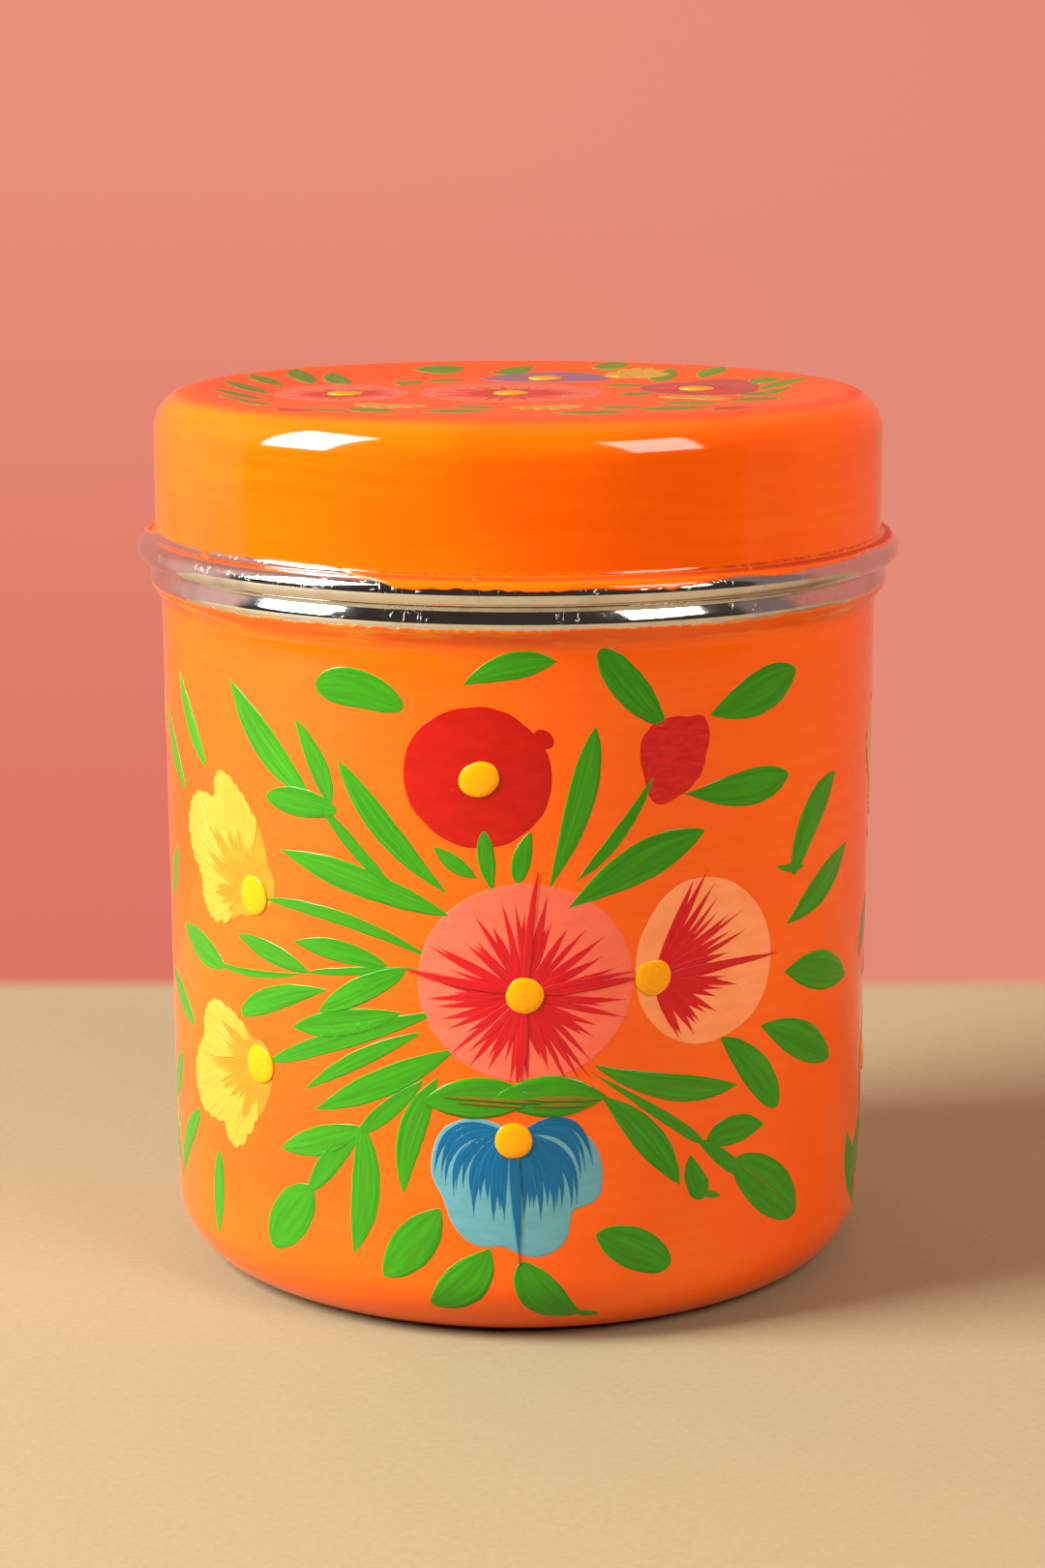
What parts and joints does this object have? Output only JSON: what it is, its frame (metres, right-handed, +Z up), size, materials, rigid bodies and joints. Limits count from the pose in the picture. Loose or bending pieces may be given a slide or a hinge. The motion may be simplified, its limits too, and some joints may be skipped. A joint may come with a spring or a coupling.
{
  "type": "lidded canister",
  "caption": "Round drawn-steel food canister with a slip-over lid whose top is slightly dished, coated in orange enamel with a painted flower pattern.",
  "frame": {"origin": "centre of the base, on the surface that the canister stands on", "axes": "+Z up along the axis of revolution; -Y towards the side with the large round blossom"},
  "size_m": [0.1062, 0.1062, 0.1224],
  "materials": {
    "polished_steel": "polished",
    "orange_enamel": "gloss",
    "leaf_green": "gloss",
    "petal_red": "gloss",
    "petal_pink": "gloss",
    "petal_yellow": "gloss",
    "petal_blue": "gloss"
  },
  "bodies": {
    "canister": {"canister_shell": "polished_steel", "canister_paint": "orange_enamel"},
    "lid": {"lid_shell": "polished_steel", "lid_paint": "orange_enamel"}
  },
  "joints": [
    {"name": "lid_lift", "type": "slide", "parent": "canister", "child": "lid", "axis": [0, 0, 1], "range_m": [0, 0.13]}
  ]
}
